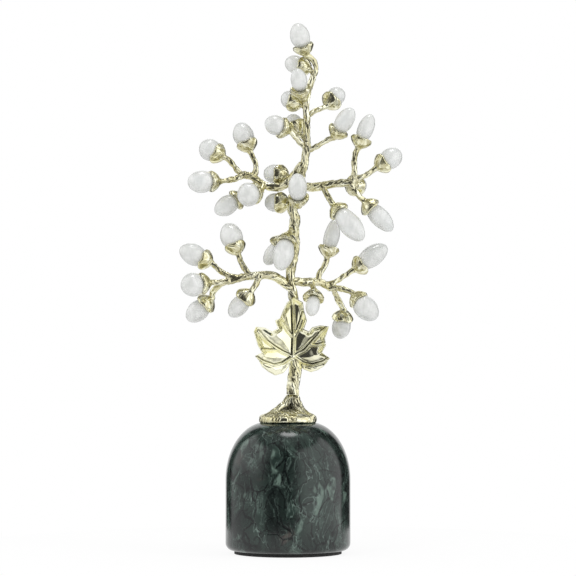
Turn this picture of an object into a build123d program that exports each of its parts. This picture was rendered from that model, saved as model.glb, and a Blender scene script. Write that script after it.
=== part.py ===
from build123d import *
import os
from math import sqrt

# Gemstone tree: a cast vine with stone fruit in calyx cups, bolted to a domed marble base.
# Millimetres, +Z up, front towards -Y, origin under the middle of the foot pad.

# Marble base and foot pad
BASE_DIAMETER = 100.0
BASE_HEIGHT = 102.6
BASE_FLAT_RADIUS = 17.0
BASE_DOME_DROP = 46.0
BASE_EDGE_RADIUS = 6.0
PAD_DIAMETER = 86.0
PAD_THICKNESS = 2.6

# Tie stud, washer and nut that hold the tree down through the base
STUD_DIAMETER = 6.0
STUD_FIT = 0.1
STUD_GRIP = 6.5
STUD_TAIL = 2.0
STUD_HOLE_CLEARANCE = 0.5
RECESS_DIAMETER = 26.0
RECESS_DEPTH = 14.0
WASHER_DIAMETER = 18.0
WASHER_THICKNESS = 1.6
NUT_ACROSS_FLATS = 10.0
NUT_THICKNESS = 5.0

# Root foot
FOOT_GAP = 0.2
FLANGE_RADIUS = 22.8
FLANGE_RIM_HEIGHT = 4.6
FLANGE_MOUND_HEIGHT = 13.0
FLANGE_MOUND_RADIUS = 5.0
ROOT_TOP_RADIUS = 3.4
ROOT_TOE_RADIUS = 2.4
NECK_LENGTH = 9.5

# Trunk, limbs and twigs
TREE_HEIGHT = 319.0
TRUNK_RADIUS = 5.2
TENON_RADIUS = 2.2
TENON_LENGTH = 5.0
LIMB_ROOT_RADIUS = 3.8
LIMB_TIP_RADIUS = 3.0
TWIG_ROOT_RADIUS = 2.5
TWIG_TIP_RADIUS = 2.2
KNUCKLE_SWELL = 0.4
PEG_RADIUS = 1.1
PEG_DEPTH = 1.4
PEG_BITE = 2.6
BRAZE_GAP = 0.12

# Calyx cups and stones
CUP_FOOT_RADIUS = 2.6
CUP_RIM_RADIUS = 8.2
CUP_FLOOR = 4.4
CUP_DEPTH = 3.8
CUP_POCKET = 1.2
CUP_WALL = 1.2
PETAL_NOTCH_RADIUS = 8.0
PETAL_NOTCH_DEPTH = 1.1
PETALS = 4
CUP_FLANK_SHARE = 0.66
CUP_FLANK_HEIGHT_SHARE = 0.41
CUP_BELLY_SHARE = 0.76
STONE_LENGTH = 24.0
STONE_WIDTH = 16.8
SEAT_GAP = 0.15
PEBBLE_SHARES = [(0.1, 0.61), (0.28, 0.9), (0.48, 1.0), (0.72, 0.88), (0.9, 0.57)]

# Vine leaf
LEAF_THICKNESS = 1.6
LEAF_CURVE_RADIUS = 46.0
LEAF_GAP = 0.15
LEAF_PEG_RADIUS = 1.6
LEAF_PEG_DEPTH = 2.4
VEIN_ROOT_RADIUS = 1.3
VEIN_TIP_RADIUS = 0.6

OVERRUN = 1.0

# Layout of the tree in front-view pixels: column, row and depth, with depth away from the viewer
AXIS_COLUMN_PIXELS = 288.0
BASE_TOP_ROW_PIXELS = 422.0
CROWN_ROW_PIXELS = 23.0

TRUNK_PIXELS = [
    (293, 395, 0), (294, 380, 0), (295.5, 360, 0), (296, 335, 0), (295, 307, 0), (292, 291, 0),
    (290.5, 281, 0), (291, 268, 0), (294.5, 252, 0), (294.5, 237, 0), (294, 226, 0), (293, 212, 0),
    (294.5, 199, 1), (297.5, 189, 2), (301, 177, 1), (304, 164, 0), (306.5, 150, 0), (306.8, 141, 0),
    (307, 128, 0), (306.5, 116, 0), (306, 108.5, 0), (306.5, 101.5, 0), (308, 93, 0), (310.5, 84, 1),
    (314, 75, 2), (316, 67, 2), (313.5, 60, 1), (309, 56, -1), (306, 55, -2),
]
TRUNK_RADIUS_SHARES = [
    1.0, 1.0, 0.98, 0.92, 0.82, 0.74,
    0.72, 0.72, 0.76, 0.8, 0.82, 0.82,
    0.8, 0.78, 0.68, 0.65, 0.63, 0.59,
    0.56, 0.54, 0.54, 0.53, 0.51, 0.49,
    0.48, 0.46, 0.45, 0.44, 0.43,
]
TRUNK_SPLICE = 11
LEAF_STATION = 2
LOWER_LEFT_STATION = 5
LOWER_RIGHT_STATION = 6
WAIST_BACK_STATION = 9
WAIST_FRONT_STATION = 10
COLLAR_STATION = 12
MIDDLE_RIGHT_STATION = 13
MIDDLE_LEFT_STATION = 15
FORK_STATION = 16
FORK_BACK_STATION = 17
UPPER_RIGHT_STATION = 19
CROWN_LEFT_STATION = 20
CROWN_FRONT_STATION = 21
CROWN_BACK_STATION = 24

ROOT_PIXELS = [
    [(290, 398, -2), (282, 405, -5), (273, 412, -9), (265, 417, -12)],
    [(296, 398, -2), (299, 406, -6), (306, 413, -10), (314, 417, -12)],
    [(290, 398, 2), (283, 406, 8), (277, 413, 14), (273, 417, 19)],
    [(295, 398, 2), (300, 406, 7), (304, 413, 13), (309, 417, 18)],
]

LIMB_PIXELS = {
    "lower_left": (LOWER_LEFT_STATION, [
        (286, 284, -1), (278, 278, -3), (270, 275, -6), (259, 275, -8), (250, 276, -10),
        (240, 278, -12), (228, 281, -12)]),
    "lower_right": (LOWER_RIGHT_STATION, [
        (300, 282, 2), (311, 282, 5.5), (318, 282, 8), (325, 285, 10), (333, 288, 11)]),
    "middle_left": (MIDDLE_LEFT_STATION, [
        (296, 173, 1), (288, 182, 3), (277, 187, 5), (264, 185, 8), (252, 177, 11), (245, 175, 12)]),
    "middle_right": (MIDDLE_RIGHT_STATION, [
        (310, 187, -3), (322, 186, -6), (333, 184, -8), (343, 183, -10), (351, 183, -11)]),
}

# Each fruit: the stem's points from the carrier to the cup's foot, the stone's far tip,
# and the stone's length and width as shares of the usual stone
LIMB_FRUIT_SHARES = {
    "lower_left": [
        ([(250, 276, -10), (245, 269, -8), (241, 262, -4), (238, 254, -1)], (226.5, 222, 9), 0.97, 1.1),
        ([(240, 278, -12), (226, 274, -10), (218, 269, -7), (212, 263, -4)], (179, 248, 4), 1.03, 1.04),
        ([(228, 281, -12), (219, 282, -15), (211, 282, -17)], (181, 286, -26), 0.87, 1.14),
        ([(228, 281, -12), (220, 285, -9), (214, 290, -5), (212, 298, -1)], (186, 321.5, 6), 0.97, 1.02),
        ([(259, 275, -8), (256, 284, -13), (251, 291, -16)], (229.5, 316.5, -1), 1.02, 0.9),
    ],
    "lower_right": [
        ([(318, 282, 8), (320, 273, 9), (325, 265, 11), (327, 257, 12)], (336, 218.5, 18), 1.14, 0.8),
        ([(325, 285, 10), (337, 281, 13), (345, 276, 16), (354, 270, 18)], (388, 245.5, 27), 1.23, 1.02),
        ([(333, 288, 11), (342, 289, 8), (353, 293.5, 4)], (376, 319.5, -4), 1.0, 1.12),
        ([(333, 288, 11), (338, 299, 14), (344, 310, 17)], (340, 340, 24), 0.84, 0.95),
        ([(311, 282, 5.5), (314.5, 290, -5)], (311, 316, -19), 0.81, 0.71),
    ],
    "middle_left": [
        ([(245, 175, 12), (239, 172, 13), (233, 165, 13), (224, 157, 13)], (198.5, 143, 20), 0.77, 1.07),
        ([(252, 177, 11), (256, 168, 13), (254, 159, 15), (250, 151, 16)], (237.5, 120, 24), 0.91, 1.03),
        ([(245, 175, 12), (236, 178, 9), (228, 180, 6), (220, 181, 3)], (188, 182, -6), 0.93, 1.1),
        ([(264, 185, 8), (261, 192, -1)], (240, 196.5, -18), 0.73, 1.14),
        ([(264, 185, 8), (252, 190, 12), (243, 195, 13)], (214.5, 213, 9), 0.95, 0.95),
        ([(288, 182, 3), (287, 176, 9)], (265, 172, 26), 0.75, 0.95),
    ],
    "middle_right": [
        ([(351, 183, -11), (354, 172, -10), (354, 161, -9), (358, 148, -8)], (372, 112.5, -4), 1.06, 0.84),
        ([(351, 183, -11), (360, 178, -9), (368, 174, -6), (376, 168, -3)], (401.5, 150.5, 5), 0.86, 1.02),
        ([(351, 183, -11), (356, 193, -12), (364, 201, -11)], (392.5, 231, -5), 1.2, 0.92),
        ([(322, 186, -6), (327, 195, -10), (333, 205, -13)], (363, 240, -26), 1.41, 1.05),
        ([(351, 183, -11), (352.5, 185.5, -4)], (362, 184.5, 24), 0.8, 0.86),
    ],
}
TWIG_FRUIT_SHARES = {
    "crown_back": (CROWN_BACK_STATION, [(310, 69, 6)], (284.5, 59.5, 20), 0.81, 0.88),
    "crown_front": (CROWN_FRONT_STATION, [(302, 98, -7)], (297, 69, -19), 0.88, 0.83),
    "crown_left": (CROWN_LEFT_STATION, [(301, 104, 3)], (282, 95, 17), 0.66, 0.9),
    "upper_right": (UPPER_RIGHT_STATION, [(315, 111, 2), (326.5, 106, 6)], (342, 89.5, 20), 0.72, 0.92),
    "fork_right": (
        FORK_STATION, [(316, 147, -3), (324, 142, -6), (333.5, 138, -8)], (353.5, 108, -16), 1.03, 0.88),
    "fork_left": (
        FORK_STATION, [(300, 142, -2), (295, 137, -4), (290, 131, -6)], (264, 121.5, -14), 0.74, 0.98),
    "fork_back": (FORK_BACK_STATION, [(299, 133, 7)], (290, 115, 20), 0.62, 0.86),
    "collar_left": (COLLAR_STATION, [(288, 203, 3)], (265.5, 201.5, 18), 0.72, 0.92),
    "collar_front": (COLLAR_STATION, [(299, 206, -8)], (297, 174, -24), 1.01, 0.93),
    "waist_front": (WAIST_FRONT_STATION, [(289, 233, -8)], (279.5, 270, -22), 1.17, 1.0),
    "waist_back": (WAIST_BACK_STATION, [(284, 237, 5)], (265.5, 265, 15), 0.98, 0.81),
}
CROWN_TIP_PIXELS = (295.5, 23, -8)
CROWN_LENGTH_SHARE = 0.94
CROWN_WIDTH_SHARE = 0.95

LEAF_HUB_PIXELS = (293, 356)
LEAF_PEG_PIXELS = (295.5, 348)
LEAF_OUTLINE_PIXELS = [
    (294, 297), (287, 302), (283, 310), (280, 318), (275, 320), (278, 328), (272, 331), (265, 327),
    (256, 326), (254, 331), (258, 345), (262, 352), (255, 355), (259, 360), (262, 366), (268, 371),
    (275, 375), (283, 373), (288, 367), (291, 361), (298, 362), (303, 369), (311, 372), (318, 370),
    (324, 366), (330, 358), (322, 352), (326, 345), (325, 338), (327, 332), (329, 326), (320, 325),
    (312, 327), (309, 331), (304, 329), (307, 320), (304, 310), (303, 302),
]
LEAF_VEIN_PIXELS = [
    [(293, 358), (293.5, 340), (294, 320), (294, 302)],
    [(292, 355), (281, 351), (271, 344), (261, 334)],
    [(294, 354), (304, 347), (313, 338), (322, 330)],
    [(292, 357), (282, 364), (272, 366), (263, 362)],
    [(295, 357), (305, 362), (313, 364), (324, 360)],
]

# Values that follow from the sizes above
BASE_TOP = PAD_THICKNESS + BASE_HEIGHT
BASE_RADIUS = BASE_DIAMETER / 2
DOME_REACH = BASE_RADIUS - BASE_FLAT_RADIUS
STUD_RADIUS = STUD_DIAMETER / 2
RECESS_TOP = PAD_THICKNESS + RECESS_DEPTH
NUT_BOTTOM = RECESS_TOP - WASHER_THICKNESS - NUT_THICKNESS
STUD_BOTTOM = NUT_BOTTOM - STUD_TAIL
STUD_TOP = BASE_TOP + STUD_GRIP
PIXEL = TREE_HEIGHT / (BASE_TOP_ROW_PIXELS - CROWN_ROW_PIXELS)


def at(pixel):
    """Place of a front-view pixel with its depth."""
    column, row, depth = pixel
    return Vector(
        (column - AXIS_COLUMN_PIXELS) * PIXEL,
        depth * PIXEL,
        BASE_TOP + (BASE_TOP_ROW_PIXELS - row) * PIXEL,
    )


def line_headings(points):
    """Directions along a line of points, each taken between its neighbours."""
    last = len(points) - 1
    return [(points[min(i + 1, last)] - points[max(i - 1, 0)]).normalized() for i in range(last + 1)]


def tube(points, radii, headings=None):
    """Smooth tapering stem through round sections, square to the line of its points."""
    headings = headings or line_headings(points)
    axes = (Vector(1, 0, 0), Vector(0, 1, 0), Vector(0, 0, 1))
    steady = min(axes, key=lambda axis: max(abs(axis.dot(heading)) for heading in headings))
    sections = []
    for point, heading, radius in zip(points, headings, radii):
        plane = Plane(origin=point, x_dir=steady - heading * steady.dot(heading), z_dir=heading)
        sections.append(Wire.make_circle(radius, plane))
    return Solid.make_loft(sections)


def taper(first, last, count):
    """Evenly changing radii from a stem's root to its tip."""
    return [first + (last - first) * i / (count - 1) for i in range(count)]


def rod(start, end, radius):
    """Round rod between two points."""
    return Solid.make_cylinder(radius, (end - start).length, Plane(origin=start, z_dir=end - start))


def ball(centre, heading, radius):
    """Knuckle that closes a bend, with its poles on the heading."""
    return Solid.make_sphere(radius, Plane(origin=centre, z_dir=heading), angle1=-90, angle2=90)


def turned(outline, plane=Plane.XY):
    """Solid turned from a closed outline of radius and height, stood on a plane."""
    solid = revolve(make_face(Plane.XZ * outline), Axis.Z).solid()
    return solid.moved(plane.location)


def fused(pieces):
    """One casting from pieces that overlap, each joined to those before it."""
    casting = pieces[0]
    for piece in pieces[1:]:
        casting = casting.fuse(piece)
    return casting.solid()


def trunk_run(first, last, growth=0):
    """A stretch of the trunk between two stations, grown by a clearance."""
    points = [at(pixel) for pixel in TRUNK_PIXELS]
    radii = [TRUNK_RADIUS * share + growth for share in TRUNK_RADIUS_SHARES]
    headings = line_headings(points)
    return tube(points[first:last], radii[first:last], headings[first:last])


def stone_shape(length, width, growth, plane):
    """Tumbled pebble with its seat end on the plane, grown by a clearance."""
    radius = width / 2 + growth
    tall = length + 2 * growth
    seat = (0, -growth)
    tip = (0, length + growth)
    flank = [(radius * across, tall * along - growth) for along, across in PEBBLE_SHARES]
    profile = Spline(seat, *flank, tip, tangents=[(1, 0), (-1, 0)], tangent_scalars=[1, 1])
    return turned(profile + Line(tip, seat), plane)


def cup_shape(plane):
    """Domed calyx cup with notched petals and a thick floor for the stone's pocket, its foot on the plane."""
    top = CUP_FLOOR + CUP_DEPTH
    outer = CUP_RIM_RADIUS + CUP_WALL / 2
    inner = CUP_RIM_RADIUS - CUP_WALL / 2
    flank = CUP_FOOT_RADIUS + (outer - CUP_FOOT_RADIUS) * CUP_FLANK_SHARE
    floor = CUP_FLOOR + CUP_POCKET
    belly = (CUP_RIM_RADIUS * CUP_BELLY_SHARE, (floor + top) / 2)
    profile = Line((0, 0), (CUP_FOOT_RADIUS, 0))
    profile += ThreePointArc((CUP_FOOT_RADIUS, 0), (flank, top * CUP_FLANK_HEIGHT_SHARE), (outer, top))
    profile += Line((outer, top), (inner, top))
    profile += ThreePointArc((inner, top), belly, (0, floor))
    profile += Line((0, floor), (0, 0))
    cup = turned(profile)
    notch_height = top - PETAL_NOTCH_DEPTH + PETAL_NOTCH_RADIUS
    notches = []
    for i in range(PETALS):
        across = Vector(1, 0, 0).rotate(Axis.Z, 360 * i / PETALS)
        start = Vector(0, 0, notch_height)
        notches.append(rod(start, start + across * (outer + OVERRUN), PETAL_NOTCH_RADIUS))
    return cup.cut(*notches).solid().moved(plane.location)


def fruit(foot, tip, length_share, width_share):
    """Cup with its knuckle, the stone, and the room that the stone needs in the cup."""
    heading = (tip - foot).normalized()
    length = STONE_LENGTH * length_share
    width = STONE_WIDTH * width_share
    seat = Plane(origin=foot + heading * CUP_FLOOR, z_dir=heading)
    pieces = [
        ball(foot, heading, TWIG_TIP_RADIUS + KNUCKLE_SWELL),
        cup_shape(Plane(origin=foot, z_dir=heading)),
    ]
    stone = stone_shape(length, width, 0, seat)
    return pieces, stone, stone_shape(length, width, SEAT_GAP, seat)


def peg_line(station, towards):
    """Ends of the peg that carries a branch, from inside the trunk to inside the branch."""
    start = at(TRUNK_PIXELS[station])
    heading = (towards - start).normalized()
    grain = (at(TRUNK_PIXELS[station + 1]) - at(TRUNK_PIXELS[station - 1])).normalized()
    radius = TRUNK_RADIUS * TRUNK_RADIUS_SHARES[station]
    skin = radius / sqrt(1 - heading.dot(grain) ** 2)
    return start + heading * (skin - PEG_DEPTH), start + heading * (skin + PEG_BITE)


def branch(pieces, rooms, station, towards):
    """Casting saddled on the trunk with its peg, and the peg's hole in the trunk."""
    inner, outer = peg_line(station, towards)
    inset = (inner - outer).normalized() * BRAZE_GAP
    body = fused(pieces).cut(TRUNK_ROOM[station > TRUNK_SPLICE], *rooms)
    body = max(body.solids(), key=lambda solid: solid.volume)
    casting = fused([body, rod(inner, outer, PEG_RADIUS)])
    return casting, rod(inner + inset, outer, PEG_RADIUS + BRAZE_GAP)


def base_body(growth=0):
    """Domed marble block, grown by a clearance."""
    side = BASE_RADIUS + growth
    top = BASE_TOP + growth
    shoulder = BASE_TOP - BASE_DOME_DROP
    heel = PAD_THICKNESS + BASE_EDGE_RADIUS
    foot = BASE_RADIUS - BASE_EDGE_RADIUS
    profile = Line((0, PAD_THICKNESS), (foot, PAD_THICKNESS))
    profile += EllipticalCenterArc((foot, heel), BASE_EDGE_RADIUS + growth, BASE_EDGE_RADIUS, -90)
    profile += Line((side, heel), (side, shoulder))
    dome_height = BASE_DOME_DROP + growth
    profile += EllipticalCenterArc((BASE_FLAT_RADIUS, shoulder), DOME_REACH + growth, dome_height)
    profile += Line((BASE_FLAT_RADIUS, top), (0, top))
    profile += Line((0, top), (0, PAD_THICKNESS))
    return turned(profile)


def upright(radius, bottom, top):
    """Round post on the base's axis."""
    return rod(Vector(0, 0, bottom), Vector(0, 0, top), radius)


def make_base():
    """Marble with its stud hole and nut recess, the pad under it and the fasteners inside."""
    hole = upright(STUD_RADIUS + STUD_HOLE_CLEARANCE, PAD_THICKNESS - OVERRUN, BASE_TOP + OVERRUN)
    recess = upright(RECESS_DIAMETER / 2, PAD_THICKNESS - OVERRUN, RECESS_TOP)
    bore = upright(STUD_RADIUS + STUD_FIT, NUT_BOTTOM - OVERRUN, RECESS_TOP + OVERRUN)
    nut = extrude(RegularPolygon(NUT_ACROSS_FLATS / 2, 6, major_radius=False), NUT_THICKNESS).solid()
    nut = nut.moved(Location((0, 0, NUT_BOTTOM)))
    washer = upright(WASHER_DIAMETER / 2, RECESS_TOP - WASHER_THICKNESS, RECESS_TOP)
    return {
        "marble_base": base_body().cut(hole, recess),
        "foot_pad": upright(PAD_DIAMETER / 2, 0, PAD_THICKNESS),
        "tie_stud": upright(STUD_RADIUS, STUD_BOTTOM, STUD_TOP),
        "stud_washer": washer.cut(bore),
        "stud_nut": nut.cut(bore),
    }


def tenon_line(station):
    """Lower and upper end of a tenon that reaches equally far to both sides of a station."""
    middle = at(TRUNK_PIXELS[station])
    reach = line_headings([at(pixel) for pixel in TRUNK_PIXELS])[station] * TENON_LENGTH
    return middle - reach, middle + reach


def make_root_foot():
    """Flange that follows the marble's top, with roots that run up into a neck for the trunk."""
    flange = turned(Polyline(
        (0, BASE_TOP - BASE_DOME_DROP / 2),
        (FLANGE_RADIUS, BASE_TOP - BASE_DOME_DROP / 2),
        (FLANGE_RADIUS, BASE_TOP + FLANGE_RIM_HEIGHT),
        (FLANGE_MOUND_RADIUS, BASE_TOP + FLANGE_MOUND_HEIGHT),
        (0, BASE_TOP + FLANGE_MOUND_HEIGHT),
        close=True,
    ))
    tenon_end, tenon_top = tenon_line(0)
    top = at(TRUNK_PIXELS[0])
    down = (tenon_end - tenon_top).normalized()
    pieces = [flange, rod(top, top + down * NECK_LENGTH, TRUNK_RADIUS)]
    for pixels in ROOT_PIXELS:
        points = [at(pixel) for pixel in pixels]
        pieces.append(tube(points, taper(ROOT_TOP_RADIUS, ROOT_TOE_RADIUS, len(points))))
        pieces.append(ball(points[0], points[0] - points[1], ROOT_TOP_RADIUS + KNUCKLE_SWELL))
    socket = rod(tenon_top, tenon_end + down * BRAZE_GAP, TENON_RADIUS + BRAZE_GAP)
    stud_hole = upright(STUD_RADIUS + STUD_FIT, BASE_TOP - OVERRUN, STUD_TOP + STUD_FIT)
    return fused(pieces).cut(base_body(FOOT_GAP), TRUNK_ROOM[0], socket, stud_hole).solid()


def make_leaf():
    """Lobed leaf, cupped towards the viewer, with raised veins and a peg into the trunk."""
    hub = at((*LEAF_HUB_PIXELS, 0))
    back = -TRUNK_RADIUS - LEAF_GAP
    centre = Vector(hub.X, back - LEAF_CURVE_RADIUS, 0)

    def front(pixel):
        place = at((*pixel, 0))
        radius = LEAF_CURVE_RADIUS - LEAF_THICKNESS
        return Vector(place.X, centre.Y + sqrt(radius ** 2 - (place.X - centre.X) ** 2), place.Z)

    outline = [at((*pixel, 0)) for pixel in LEAF_OUTLINE_PIXELS]
    sheet = extrude(make_face(Polyline(*outline, close=True)), LEAF_CURVE_RADIUS, dir=(0, -1, 0)).solid()
    low = centre + Vector(0, 0, BASE_TOP)
    high = centre + Vector(0, 0, BASE_TOP + TREE_HEIGHT)
    shell = rod(low, high, LEAF_CURVE_RADIUS).cut(rod(low, high, LEAF_CURVE_RADIUS - LEAF_THICKNESS))
    blade = sheet.intersect(shell).solid()
    veins = []
    for pixels in LEAF_VEIN_PIXELS:
        points = [front(pixel) for pixel in pixels]
        veins.append(tube(points, taper(VEIN_ROOT_RADIUS, VEIN_TIP_RADIUS, len(points))))
    peg_end = front(LEAF_PEG_PIXELS)
    peg_start = Vector(peg_end.X, -TRUNK_RADIUS + LEAF_PEG_DEPTH, peg_end.Z)
    inset = Vector(0, BRAZE_GAP, 0)
    leaf = fused([blade, *veins, rod(peg_start, peg_end, LEAF_PEG_RADIUS)])
    return leaf, rod(peg_start + inset, peg_end, LEAF_PEG_RADIUS + BRAZE_GAP)


def make_limb(name):
    """Limb casting with all its twigs and cups, its stones and the hole it needs in the trunk."""
    station, pixels = LIMB_PIXELS[name]
    points = [at(TRUNK_PIXELS[station]), *(at(pixel) for pixel in pixels)]
    pieces = [
        tube(points, taper(LIMB_ROOT_RADIUS, LIMB_TIP_RADIUS, len(points))),
        ball(points[-1], points[-1] - points[-2], LIMB_TIP_RADIUS + KNUCKLE_SWELL),
    ]
    stones = {}
    rooms = []
    for number, (stem, tip, length_share, width_share) in enumerate(LIMB_FRUIT_SHARES[name], 1):
        stem = [at(pixel) for pixel in stem]
        cup, stone, room = fruit(stem[-1], at(tip), length_share, width_share)
        pieces += [tube(stem, taper(TWIG_ROOT_RADIUS, TWIG_TIP_RADIUS, len(stem))), *cup]
        rooms.append(room)
        stones[f"{name}_stone_{number}"] = stone
    casting, hole = branch(pieces, rooms, station, points[1])
    return casting, stones, hole


def make_twig(name):
    """Single twig with its cup and stone, and the hole it needs in the trunk."""
    station, stem, tip, length_share, width_share = TWIG_FRUIT_SHARES[name]
    stem = [at(TRUNK_PIXELS[station]), *(at(pixel) for pixel in stem)]
    cup, stone, room = fruit(stem[-1], at(tip), length_share, width_share)
    stalk = tube(stem, taper(TWIG_ROOT_RADIUS, TWIG_TIP_RADIUS, len(stem)))
    casting, hole = branch([stalk, *cup], [room], station, stem[1])
    return casting, stone, hole


def make_trunks(lower_holes, upper_holes):
    """Lower and upper trunk, spliced by a tenon, with the crown's cup and stone."""
    splice_low, splice_high = tenon_line(TRUNK_SPLICE)
    socket_end = splice_low + (splice_low - splice_high).normalized() * BRAZE_GAP
    socket = rod(socket_end, splice_high, TENON_RADIUS + BRAZE_GAP)
    foot_tenon = rod(*tenon_line(0), TENON_RADIUS)
    lower = fused([trunk_run(0, TRUNK_SPLICE + 1), foot_tenon]).cut(socket, *lower_holes)
    neck = at(TRUNK_PIXELS[-1])
    cup, stone, room = fruit(neck, at(CROWN_TIP_PIXELS), CROWN_LENGTH_SHARE, CROWN_WIDTH_SHARE)
    upper_run = trunk_run(TRUNK_SPLICE, len(TRUNK_PIXELS))
    splice_tenon = rod(splice_low, splice_high, TENON_RADIUS)
    upper = fused([upper_run, *cup, splice_tenon]).cut(room, *upper_holes)
    return lower.solid(), upper.solid(), stone


TRUNK_ROOM = (
    trunk_run(0, TRUNK_SPLICE + 1, BRAZE_GAP),
    trunk_run(TRUNK_SPLICE, len(TRUNK_PIXELS), BRAZE_GAP),
)
nodes = make_base()
nodes["root_foot"] = make_root_foot()
nodes["vine_leaf"], leaf_hole = make_leaf()
holes = {LEAF_STATION: [leaf_hole]}
for limb_name, (limb_station, _) in LIMB_PIXELS.items():
    nodes[f"{limb_name}_limb"], limb_stones, limb_hole = make_limb(limb_name)
    nodes.update(limb_stones)
    holes.setdefault(limb_station, []).append(limb_hole)
for twig_name, (twig_station, *_) in TWIG_FRUIT_SHARES.items():
    nodes[f"{twig_name}_twig"], nodes[f"{twig_name}_stone"], twig_hole = make_twig(twig_name)
    holes.setdefault(twig_station, []).append(twig_hole)
nodes["lower_trunk"], nodes["upper_trunk"], nodes["crown_stone"] = make_trunks(
    [hole for station in holes if station <= TRUNK_SPLICE for hole in holes[station]],
    [hole for station in holes if station > TRUNK_SPLICE for hole in holes[station]],
)

os.makedirs("parts", exist_ok=True)
for name, solid in nodes.items():
    export_step(solid, f"parts/{name}.step")
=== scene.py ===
"""Gemstone tree: a gold-plated vine with polished white stones on a domed green marble base."""

import bmesh
import bpy
import numpy as np
from bpy.props import FloatProperty, FloatVectorProperty, IntProperty, PointerProperty
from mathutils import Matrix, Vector


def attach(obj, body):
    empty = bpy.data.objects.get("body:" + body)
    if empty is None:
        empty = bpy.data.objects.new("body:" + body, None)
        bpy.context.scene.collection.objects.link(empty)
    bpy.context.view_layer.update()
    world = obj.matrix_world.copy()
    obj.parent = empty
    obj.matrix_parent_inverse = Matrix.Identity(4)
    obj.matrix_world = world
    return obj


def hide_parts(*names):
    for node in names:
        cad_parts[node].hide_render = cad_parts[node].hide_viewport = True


bl_info = {
    "name": "Gemstone tree",
    "version": (1, 0, 0),
    "blender": (4, 5, 0),
    "location": "View3D > Sidebar > Gem tree",
    "description": "Dresses the gemstone tree with bark, leaf, stones and marble",
    "category": "Object",
}

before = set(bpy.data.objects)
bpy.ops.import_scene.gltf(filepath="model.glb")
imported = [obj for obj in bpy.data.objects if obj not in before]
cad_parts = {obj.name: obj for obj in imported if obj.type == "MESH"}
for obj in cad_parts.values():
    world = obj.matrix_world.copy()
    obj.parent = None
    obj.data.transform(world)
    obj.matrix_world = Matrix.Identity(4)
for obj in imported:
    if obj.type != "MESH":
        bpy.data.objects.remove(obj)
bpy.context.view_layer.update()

# Layout of the tree in front-view pixels: column, row and depth away from the viewer
PIXEL = 0.319 / 399
AXIS_COLUMN = 288.0
BASE_TOP_ROW = 422.0
BASE_TOP = 0.1052
CUP_REACH = 0.012
GRAIN_SHIFT = 0.173
STRAND_RADIUS = 0.0031
HOLLOW_RADIUS = 0.0048
HOLLOW_FADE = 0.003
SEED_STEP = 0.31
LEAF_HUB = (293, 357)

# Studio: the floor, the light off gloss and on matt surfaces, the lamps and the camera
FLOOR_RADIUS = 0.3
FLOOR_DROP = 0.0002
FLOOR_GLOW = 0.9
DARK_ROOM = 0.045
MATT_LIGHT = 0.86
TOP_LAMP_WAY = (0.02, 0.04, 0.999)
TOP_LAMP_LIGHT = 6.0
LAMPS = (
    ("left_softbox", (-0.9, -1.3, 1.1), 0.7, 6.5),
    ("right_softbox", (1.2, -0.8, 0.9), 0.6, 4.0),
)
LAMP_AIM = (0.0, 0.0, 0.2)
CAMERA_PLACE = (0.0, -3.0, 0.246)
CAMERA_AIM = (0.0, 0.0, 0.2124)
CAMERA_LENS = 234.4

TRUNK = [
    (293, 395, 0), (294, 380, 0), (295.5, 360, 0), (296, 335, 0), (295, 307, 0), (292, 291, 0),
    (290.5, 281, 0), (291, 268, 0), (294.5, 252, 0), (294.5, 237, 0), (294, 226, 0), (293, 212, 0),
    (294.5, 199, 1), (297.5, 189, 2), (301, 177, 1), (304, 164, 0), (306.5, 150, 0), (306.8, 141, 0),
    (307, 128, 0), (306.5, 116, 0), (306, 108.5, 0), (306.5, 101.5, 0), (308, 93, 0), (310.5, 84, 1),
    (314, 75, 2), (316, 67, 2), (313.5, 60, 1), (309, 56, -1), (306, 55, -2), (302, 45, -4),
]
ROOTS = [
    [(290, 398, -2), (282, 405, -5), (273, 412, -9), (265, 417, -12)],
    [(296, 398, -2), (299, 406, -6), (306, 413, -10), (314, 417, -12)],
    [(290, 398, 2), (283, 406, 8), (277, 413, 14), (273, 417, 19)],
    [(295, 398, 2), (300, 406, 7), (304, 413, 13), (309, 417, 18)],
]
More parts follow.
